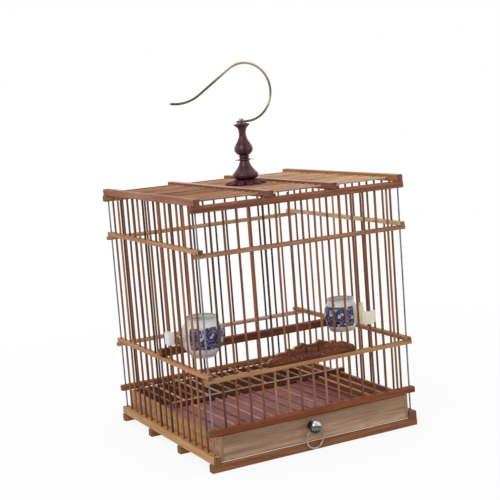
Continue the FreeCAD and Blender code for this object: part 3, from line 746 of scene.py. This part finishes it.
# Sizes of each cup in millimetres, made with the flat side and the lug towards -Y and then turned. The head
# of the lug is cut square to the panel, the given distance from the axis, and reaches over its peg
cups = {
    "left_cup": {
        "axis": (-92.414, -52.5), "radius": 22.6, "flat": 20.5, "rim": 17.0, "foot": 13.6, "turn": -90,
        "neck": (6.0, 0.6, 6.6), "lugLow": 18.42, "lugTall": 13.5, "headBack": 33.772, "headEnd": 41.372,
        "over": 0.0, "panel": 0, "cells": 5, "leaves": 7.0, "band": (0.23, 0.79), "medallion": -88,
        "core": 0.09, "leafTint": "a6a3d2", "bare": 153, "lugTint": "dcd9d8"},
    "right_cup": {
        "axis": (52.223, -99.014), "radius": 18.3, "flat": 16.5, "rim": 14.4, "foot": 13.3, "turn": 34,
        "neck": (5.0, 0.6, 10.6), "lugLow": 8.595, "lugTall": 13.4, "headBack": 27.172, "headEnd": 37.976,
        "over": 3.4, "panel": -34, "cells": 5, "leaves": 6.5, "band": (0.16, 0.80), "medallion": 112,
        "core": 0.13, "leafTint": "c6cfd2", "bare": 166, "lugTint": "ddd3c2"},
}
cupCut = {"wall": 2.0, "sides": 96, "sharp": 50, "lugHalf": 5.2, "lugEase": 1.3, "neckEase": 0.8,
          "neckIntoWall": 1.0, "neckShort": 2.0, "headFrom": 2.0}
cupInks = {
    "leaves": ((0.18, "0a0918"), (0.48, "171642"), (0.74, "2b296c"), (0.87, "55539c"), (0.96, "c4c3d4")),
    "ground": ((0.40, "0c0a1a"), (0.70, "232152")),
    "gaps": "b9b8d0",
    "arcs": "8384c0",
    "glaze": ((0.3, "d2cfcb"), (0.7, "e5e1dc")),
    "wearAndShade": "998d86",
}


# Round the belly runs a painted band: medallions with a pale leaf on a dark ground, among close violet
# leaves. It stops short of the lug
def porcelainFinish(name, height, look):
    made = Finish(name, IOR=1.4, **{"Coat Weight": 0.15, "Coat Roughness": 0.06})
    place = made.place()
    x, y, z = [made.axis(place, letter) for letter in "XYZ"]
    level = z / height
    low, high = look["band"]
    cells = look["cells"]
    tall = height * cells / (2 * math.pi * look["radius"] * mm)
    turned = math.radians(look["turn"])
    wayX, wayY = math.sin(turned), -math.cos(turned)
    towardsLug = x * wayX + y * wayY
    angle = made.maths("ARCTAN2", x * wayY - y * wayX, 0.0 - towardsLug)
    wobble = made.grain(place, 330.0, 2) - 0.5
    wash = made.grain(place, 620.0, 3)

    # Medallions
    around = (angle - math.radians(look["medallion"])) * (cells / (2 * math.pi))
    across = made.maths("FRACT", around + 0.5) - 0.5 + wobble * 0.14
    rise = (level - (low * 0.4 + high * 0.6)) * tall + wobble * 0.12
    away = made.maths("SQRT", across * across + rise * rise)
    turn = made.maths("ARCTAN2", rise, across)
    ground = made.step(away - 0.05 * made.maths("COSINE", turn * 7.0), 0.33, 0.29)
    arcs = made.step(made.maths("SINE", away * 58.0 + turn * 2.0), 0.45, 0.9) * made.step(away, 0.13, 0.17)
    core = look["core"]
    leafEdge = away - 0.4 * core * made.maths("COSINE", turn * 2.0 - 1.4) + wobble * 0.1
    paleLeaf = made.step(leafEdge, core, core * 0.7)
    vein = made.step(made.maths("ABSOLUTE", across * 0.6 + rise), 0.030, 0.016)

    # Close leaves between them
    leafPlace = made.node("ShaderNodeCombineXYZ", {}, {0: around * look["leaves"] + wobble,
                                                       1: level * (tall * look["leaves"]) + wobble, 2: 0.0})
    cell = {"Vector": leafPlace, "Scale": 1.0}
    tint = made.node("ShaderNodeTexVoronoi", {"feature": "F1"}, cell, "Color")
    gap = made.node("ShaderNodeTexVoronoi", {"feature": "DISTANCE_TO_EDGE"}, cell)
    leaves = made.ramp(made.axis(tint, "X") + (wash - 0.5) * 0.4, *cupInks["leaves"])
    leaves = made.mix(made.step(gap, 0.065, 0.02) * 0.5, leaves, cupInks["gaps"])
    leaves = made.mix(ground, leaves, made.ramp(wash, *cupInks["ground"]))
    leaves = made.mix(ground * arcs * 0.55, leaves, cupInks["arcs"])
    leaves = made.mix(paleLeaf * (1.0 - vein * 0.7), leaves, look["leafTint"])

    # The band ends short of the lug, and the inside stays white
    ragged = level + wobble * 0.06
    inBand = made.step(ragged, low, low + 0.02) * made.step(ragged, high, high - 0.02)
    bare = math.radians(look["bare"])
    inBand = inBand * made.step(made.maths("ABSOLUTE", angle), bare, bare - 0.05)
    inBand = inBand * made.step(made.facing("X") * x + made.facing("Y") * y, 0.0, 1 * mm)
    glaze = made.ramp(made.grain(place, 60.0, 3), *cupInks["glaze"])
    # Greyer at the rim, painted shade from the shaded inside, and greyer towards the foot
    wearAndShade = made.step(level, 0.94, 0.99) + made.step(level, 0.16, 0.05) * 0.8
    glaze = made.mix(wearAndShade * 0.75, glaze, cupInks["wearAndShade"])
    body = made.mix(inBand, glaze, leaves)
    flat = look["flat"] * mm
    body = made.mix(made.step(towardsLug, flat, flat + 1.2 * mm), body, look["lugTint"])
    made.bump(made.grain(place, 240.0, 2), 0.06, 0.2 * mm)
    return made.coat(body, 0.14 + 0.12 * wash)


# A block with eased edges. All behind the cut, a point and the way its plane faces, is taken off first
def easedBlock(low, high, ease, cut=None):
    work = bmesh.new()
    bmesh.ops.create_cube(work, size=1.0)
    bmesh.ops.scale(work, vec=high - low, verts=work.verts)
    bmesh.ops.translate(work, vec=(low + high) / 2, verts=work.verts)
    if cut:
        bmesh.ops.bisect_plane(work, geom=work.verts[:] + work.edges[:] + work.faces[:], plane_co=cut[0],
                               plane_no=cut[1], clear_inner=True)
        bmesh.ops.holes_fill(work, edges=work.edges[:], sides=0)
    bmesh.ops.bevel(work, geom=work.edges[:], offset=ease, segments=3, profile=0.5, affect="EDGES")
    mesh = bpy.data.meshes.new("block")
    work.to_mesh(mesh)
    work.free()
    return mesh


# From under the foot up the outside, over the lip and down the inside, with a flat side
def cupMesh(look, tall):
    foot, belly, rim, wall = look["foot"], look["radius"], look["rim"], cupCut["wall"]
    outside = [(0.3, 1.3), (foot - 2.2, 1.2), (foot - 1.9, 0.2), (foot - 1.2, 0.0), (foot - 0.3, 0.15),
               (foot, 0.8), (foot + 0.1, 1.8)]
    outside += smoothRun([(foot + 0.4, 2.4), (belly * 0.90, tall * 0.24), (belly * 0.985, tall * 0.42),
                          (belly, tall * 0.56), (belly * 0.975, tall * 0.68), (belly * 0.88, tall * 0.79),
                          (rim + 0.25, tall * 0.865)], 6)
    outside += smoothRun([(rim, tall * 0.89), (rim - 0.15, tall * 0.94), (rim + 0.1, tall * 0.975)], 3)
    outside += [(rim + 0.05, tall - 0.35), (rim - 0.35, tall - 0.02), (rim - 0.9, tall),
                (rim - 1.6, tall - 0.25)]
    inside = smoothRun([(rim - wall, tall * 0.95), (rim - wall, tall * 0.87), (belly - wall - 1.5, tall * 0.76),
                        (belly - wall, tall * 0.56), (belly * 0.93 - wall, tall * 0.28), (foot - 1, 4.2),
                        (foot * 0.5, 3.0), (0.3, 2.8)], 5)
    rings = []
    for profile, flat in ((outside, look["flat"]), (inside, look["flat"] - wall)):
        for radius, z in profile:
            rings.append([(radius * mm * math.cos(angle), max(radius * math.sin(angle), -flat) * mm, z * mm)
                          for angle in circle(cupCut["sides"])])
    return skin(rings)


def cupPiece(node, look):
    low, _, size = boxOf(node)
    height = size.z
    finish = porcelainFinish(node + ".glaze", height, look)
    piece = addPiece(node + ".glazed", *cupMesh(look, height / mm), finish, cupCut["sharp"])
    lugLow, headEnd, flat = look["lugLow"], look["headEnd"], look["flat"]
    neckWide, neckLow, neckHigh = look["neck"]
    panel = math.radians(look["panel"])
    panelWay = Vector((math.sin(panel), -math.cos(panel), 0))
    neck = easedBlock(Vector((-neckWide / 2, cupCut["neckShort"] - headEnd, lugLow + neckLow)) * mm,
                      Vector((neckWide / 2, cupCut["neckIntoWall"] - flat, lugLow + neckHigh)) * mm,
                      cupCut["neckEase"] * mm)
    head = easedBlock(Vector((-cupCut["lugHalf"] - look["over"], -headEnd, lugLow)) * mm,
                      Vector((cupCut["lugHalf"], -flat - cupCut["headFrom"], lugLow + look["lugTall"])) * mm,
                      cupCut["lugEase"] * mm, (panelWay * look["headBack"] * mm, panelWay))
    for mesh in (neck, head):
        tool = addMesh("lug tool", mesh, finish)
        union = piece.modifiers.new("join", "BOOLEAN")
        union.operation = "UNION"
        union.solver = "EXACT"
        union.object = tool
        joined = evaluated(piece)
        piece.modifiers.clear()
        piece.data = joined
        bpy.data.objects.remove(tool)
    piece.data.transform(Matrix.Rotation(math.radians(look["turn"]), 4, "Z"))
    piece.data.set_sharp_from_angle(angle=math.radians(cupCut["sharp"]))
    piece.location = (look["axis"][0] * mm, look["axis"][1] * mm, low.z)
    seat(piece, "cage", "porcelain", node)


for node, look in cups.items():
    cupPiece(node, look)


# Whittled pegs wedged between a bar and the head of a lug. Shares of their width and height
peg = {"outline": [(0.36, 0.0), (0.44, 0.30), (0.5, 0.64), (0.44, 0.86), (0.26, 1.0), (-0.12, 1.0),
                   (-0.36, 0.86), (-0.5, 0.70), (-0.45, 0.35), (-0.36, 0.0)],
       "edge": 0.6 * mm}
keepers = {
    "left_keeper": {"wood": ("5c3822", "8f6444"), "turn": math.pi / 2},
    "right_keeper": {"wood": ("cdb695", "eadcc4"), "turn": 0.0},
}
for node, look in keepers.items():
    low, middle, size = boxOf(node)
    outline = [(x, z, "VECTOR") for x, z in sized(peg["outline"], size.x, size.z)]
    mesh = cutoutMesh(node, [outline], size.x, peg["edge"])
    mesh.transform(Matrix.Translation((middle.x, middle.y, low.z)) @ Matrix.Rotation(look["turn"], 4, "Z")
                   @ upright)
    wood = polishedFinish(node + ".wood", "Z", *look["wood"], 0.45, 0.05)
    seat(addMesh(node + ".peg", mesh, wood), node, "keeper_wood", node)
print("cups glazed and pegs whittled")


# Finial: a carved rosette, bell and vase of dark rosewood on a steel spindle. Outlines are shares of the
# radius, in millimetres, and of the height: a foot, smooth curves with the steps from point to point, and a
# top. Cuts have their number round the piece, keenness, depth, and the shares of height that they run between
bell = {
    "radius": 14.5, "sides": 120,
    "foot": [(0.02, 0.0), (0.50, 0.0), (0.62, 0.005)],
    "curves": [(5, [(0.70, 0.02), (0.88, 0.07), (0.985, 0.15), (1.0, 0.23), (0.93, 0.31), (0.86, 0.345)]),
               (5, [(0.84, 0.36), (0.70, 0.46), (0.53, 0.60), (0.415, 0.75), (0.36, 0.85)]),
               (4, [(0.37, 0.865), (0.44, 0.89), (0.455, 0.92), (0.43, 0.955), (0.36, 0.975)])],
    "top": [(0.335, 0.99), (0.33, 1.0), (0.02, 1.0)],
    "cuts": [(10, 1.4, 0.02, 0.02, 0.34), (10, 1.4, 0.012, 0.34, 0.84)],
}
vase = {
    "radius": 10.2, "sides": 120,
    "foot": [(0.02, 0.0), (0.44, 0.0)],
    "curves": [(4, [(0.48, 0.005), (0.56, 0.02), (0.57, 0.04), (0.53, 0.06), (0.51, 0.07)]),
               (5, [(0.53, 0.08), (0.72, 0.11), (0.92, 0.17), (1.0, 0.22), (1.02, 0.26), (0.97, 0.31),
                    (0.90, 0.355)]),
               (5, [(0.88, 0.365), (0.77, 0.42), (0.61, 0.49), (0.48, 0.56), (0.40, 0.63), (0.38, 0.71),
                    (0.41, 0.775), (0.45, 0.82)]),
               (5, [(0.46, 0.83), (0.55, 0.87), (0.72, 0.91), (0.84, 0.945), (0.86, 0.965), (0.74, 0.975),
                    (0.62, 0.972)])],
    "top": [(0.60, 0.985), (0.56, 1.0), (0.02, 1.0)],
    "cuts": [(10, 1.4, 0.025, 0.08, 0.36), (10, 1.4, 0.015, 0.36, 0.80), (6, 2, 0.24, 0.86, 1.02)],
}
rosette = {
    "radius": 24.0, "sides": 240,
    "foot": [(0.02, 0.0), (0.60, 0.0), (0.88, 0.0)],
    "curves": [(5, [(0.95, 0.05), (1.0, 0.20), (0.985, 0.36), (0.93, 0.50), (0.85, 0.60), (0.75, 0.69),
                    (0.67, 0.74), (0.61, 0.745)]),
               (4, [(0.60, 0.76), (0.585, 0.88), (0.55, 0.97), (0.48, 1.0)])],
    "top": [(0.30, 1.0), (0.02, 1.0)],
    "petals": 12, "petalsFrom": 0.56, "notch": 0.36, "crease": 0.55, "rib": 0.16, "ribHalf": 0.14,
}
rosewood = polishedFinish("finial rosewood", "Z", "290e16", "602f39", 0.26, 0.25)
rosetteWood = polishedFinish("rosette rosewood", "Z", "290e16", "5a2a34", 0.46, 0.0)


# A piece turned on the middle axis, standing at the foot of its node
def turnedPiece(node, ending, profile, sides, finish, slot, carve=None, sharp=35):
    piece = addPiece(node + ending, *turnedMesh(profile, sides, carve), finish, sharp)
    piece.matrix_world = Matrix.Translation((0, 0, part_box(node)[0].z))
    seat(piece, "cage", slot, node)


def carvedPiece(node, look, carve, finish=rosewood):
    shares = list(look["foot"])
    for steps, points in look["curves"]:
        shares += smoothRun(points, steps)
    profile = sized(shares + look["top"], look["radius"] * mm, boxOf(node)[2].z)
    turnedPiece(node, ".carved", profile, look["sides"], finish, "finial_wood", carve, sharp=50)


# 0 at both ends of a stretch and 1 half way
def hump(value, low, high):
    return max(0.0, math.sin(math.pi * min(max((value - low) / (high - low), 0), 1)))


# Nearness to the next of so many cuts round a piece
def nextCut(angle, count):
    return 1 - abs(math.sin(angle * count / 2))


for node, look in (("finial_bell", bell), ("finial_vase", vase)):
    tall = boxOf(node)[2].z

    def carveFlutes(angle, radius, z):
        depth = sum(deep * hump(z / tall, low, high) * nextCut(angle, count) ** keen
                    for count, keen, deep, low, high in look["cuts"])
        return radius * (1 - depth), z

    carvedPiece(node, look, carveFlutes)


# Petals point outwards at half steps, with a deep cut between them and a rib down the middle of each
def carveRosette(angle, radius, z):
    edge = nextCut(angle, rosette["petals"])
    inner = rosette["petalsFrom"]
    outer = min(max((radius / (rosette["radius"] * mm) - inner) / (1 - inner), 0), 1)
    rib = rosette["rib"] * max(1 - edge / rosette["ribHalf"], 0)
    notch = rosette["notch"] * outer * edge ** 1.3
    crease = outer * (rosette["crease"] * edge ** 1.5 + rib)
    return radius * (1 - notch), z * (1 - crease)


carvedPiece("rosette", rosette, carveRosette, rosetteWood)

# Spindle, ending in a nub, in millimetres. The nub's levels are counted down from the top
spindle = {"foot": [(0.02, 0), (1.2, 0), (1.5, 0.4)],
           "nub": [(1.5, 2.4), (2.2, 2.2), (2.55, 1.8), (2.6, 1.2), (2.4, 0.6), (1.8, 0.15), (0.9, 0),
                   (0.02, 0)]}
spindleSteel = metalFinish("spindle steel", "b0b2b0", "6f716d", 0.22)
spindleTop = boxOf("finial_spindle")[2].z / mm
spindleProfile = spindle["foot"] + [(radius, spindleTop - below) for radius, below in spindle["nub"]]
turnedPiece("finial_spindle", ".turned", sized(spindleProfile, mm, mm), 32, spindleSteel, "steel_wire",
            sharp=40)
straightWire("finial_pin", "X", "Z", spindleSteel, ease=0.06, steps=10)

# Clamp disc and nut under the roof, in shares of their radius and height
clampOutline = [(0.02, 0), (0.86, 0), (0.95, 0.08), (0.99, 0.25), (1, 0.5), (0.99, 0.75), (0.96, 0.92),
                (0.90, 1), (0.02, 1)]
_, _, clampSize = boxOf("clamp_disc")
turnedPiece("clamp_disc", ".turned", sized(clampOutline, clampSize.x / 2, clampSize.z), 64, rosewood,
            "finial_wood")

nutOutline = [(0.3, 0.0), (0.82, 0.0), (1.0, 0.14), (1.0, 0.86), (0.82, 1.0), (0.3, 1.0)]
_, _, nutSize = boxOf("spindle_nut")
nutRadius = nutSize.y / 2


# Six flats
def carveNut(angle, radius, z):
    flat = math.cos(math.pi / 6) / math.cos((angle + math.pi / 6) % (math.pi / 3) - math.pi / 6)
    return min(radius, nutRadius * flat), z


turnedPiece("spindle_nut", ".cut", sized(nutOutline, nutRadius, nutSize.z), 72, spindleSteel, "steel_wire",
            carveNut, sharp=25)
print("finial carved")


# Hook of round wire: out from the eye on the spindle, round the crook, back and up at the tip. Millimetres
# and degrees; the tip's rounding and the eye's flatness are shares of the wire
hook = {"wire": 1.3, "foot": 4.4, "crookStart": 7.3, "crook": 32.0, "crookTurn": 214.0, "run": 46.0,
        "tip": 47.8, "tipTurn": 43.0, "rounding": (0.55, 0.85, 0.97), "roundStep": 0.3,
        "eye": 5.9, "eyeHole": 1.6, "eyeFlat": 0.92, "eyeSteps": 48, "sides": 16, "runSteps": 6, "stepTurn": 5}


# Dark at the foot of the crook and towards the tip, and bright between
def hookDarkPlaces(made, place):
    foot = made.step(made.axis(place, "Z"), 368 * mm, 350 * mm)
    tip = made.step(made.axis(place, "X"), -8 * mm, -34 * mm)
    return made.maths("MAXIMUM", foot, tip) * 0.85


hookBronze = metalFinish("hook bronze", "a39474", "483b36", 0.22, wearAndReflection=0.7, scale=130.0, darkPlaces=hookDarkPlaces)
wire = hook["wire"] * mm
hookMiddle = Vector((0, 0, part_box("hook")[0].z + wire))
hookPath = [hookMiddle + Vector((hook["foot"] * mm, 0, 0))]


def stepOn(heading, distance):
    hookPath.append(hookPath[-1] + Vector((math.cos(heading), 0, math.sin(heading))) * distance)


heading = 0.0
legs = [(hook["crookStart"] - hook["foot"], hook["crook"], hook["crookTurn"]),
        (hook["run"], hook["tip"], -hook["tipTurn"])]
for run, radius, degrees in legs:
    for _ in range(hook["runSteps"]):
        stepOn(heading, run * mm / hook["runSteps"])
    steps = math.ceil(abs(degrees) / hook["stepTurn"])
    turn = math.radians(degrees) / steps
    for _ in range(steps):
        stepOn(heading + turn / 2, 2 * radius * mm * math.sin(abs(turn) / 2))
        heading += turn
for _ in hook["rounding"]:
    stepOn(heading, hook["roundStep"] * mm)
hookRadii = [wire] * len(hookPath)
for number, share in enumerate(hook["rounding"]):
    hookRadii[-1 - number] = wire * share
hookPoints, hookFaces = tubeMesh(hookPath, hookRadii, hook["sides"])
eyeMiddle = (hook["eye"] + hook["eyeHole"]) / 2 * mm
eyeReach = (hook["eye"] - hook["eyeHole"]) / 2 * mm
eye = loopMesh(hookMiddle, Vector((0, 1, 0)), Vector((0, 0, 1)), eyeMiddle, eyeReach, wire * hook["eyeFlat"],
               hook["eyeSteps"], hook["sides"])
gather(hookPoints, hookFaces, *eye)
seat(addPiece("hook.bent", hookPoints, hookFaces, hookBronze), "hook", "hook_wire", "hook")
print("hook bent")


# White floor that keeps a soft shadow, and white all round
studio = {"floor": 5.0, "drop": 0.3 * mm, "shine": 0.88, "near": 0.22, "far": 0.75, "sky": 0.6}


def addFloor():
    made = Finish("floor white")
    place = made.place()
    paper = made.ramp(made.grain(place, 3.0, 2), (0.0, "eeeeee"), (1.0, "f2f2f2"))
    half = studio["floor"]
    corners = [(-half, -half, 0), (half, -half, 0), (half, half, 0), (-half, half, 0)]
    floor = addPiece("floor", corners, [(0, 1, 2, 3)], made.coat(paper, 0.9))
    floor.location.z = -studio["drop"]
    away = made.node("ShaderNodeVectorMath", {"operation": "LENGTH"}, {0: place}, "Value")
    clear = made.step(away, studio["near"], studio["far"])
    share = studio["shine"] + (1 - studio["shine"]) * clear
    glow = made.node("ShaderNodeEmission", {}, {"Color": "ffffff", "Strength": 1.0})
    plain = Flow(made, made.shader.outputs[0])
    both = made.node("ShaderNodeMixShader", {}, {0: made.seen() * share, 1: plain, 2: glow})
    made.feed(made.tree.nodes["Material Output"], {"Surface": both})


def addSky():
    made = Finish("white studio", bpy.data.worlds, "Background", Color="ffffff")
    made.feed(made.shader, {"Strength": studio["sky"] + (1 - studio["sky"]) * made.seen()})
    scene.world = made.made


# Soft boxes: where each hangs, what it points at, its width and power
lamps = {
    "key from the left": ((-1.3, -0.7, 1.25), (0, 0, 0.15), 0.9, 11.0),
    "fill from the right": ((1.1, -1.3, 0.7), (0, 0, 0.15), 1.0, 4.5),
    "top": ((0.1, 0.3, 1.7), (0, 0, 0.2), 1.0, 7.0),
}


def addLamps():
    for name, (spot, aim, width, power) in lamps.items():
        light = bpy.data.lights.new(name, "AREA")
        light.size = width
        light.energy = power
        lamp = bpy.data.objects.new(name, light)
        lamp.location = spot
        lamp.rotation_euler = (Vector(aim) - Vector(spot)).to_track_quat("-Z", "Y").to_euler()
        scene.collection.objects.link(lamp)


# The camera stands low in front, to the left, and leans a little
view = {"azimuth": -26.973, "elevation": 7.928, "roll": -4.388, "lens": 81.98, "sensor": 36, "foot": 0.0042,
        "across": -0.01632, "above": 0.19392, "back": 1.30896}


def addCamera():
    data = bpy.data.cameras.new("camera")
    data.lens = view["lens"]
    data.sensor_width = view["sensor"]
    data.sensor_fit = "HORIZONTAL"
    camera = bpy.data.objects.new("camera", data)
    turned = Matrix.Identity(4)
    for degrees, axis in ((view["azimuth"], "Z"), (90 - view["elevation"], "X"), (view["roll"], "Z")):
        turned = turned @ Matrix.Rotation(math.radians(degrees), 4, axis)
    away = Matrix.Translation((view["across"], view["above"], view["back"]))
    camera.matrix_world = Matrix.Translation((0, 0, view["foot"])) @ turned @ away
    scene.collection.objects.link(camera)
    scene.camera = camera


addFloor()
addSky()
addLamps()
addCamera()
scene.view_settings.view_transform = "Standard"
print("studio lit")
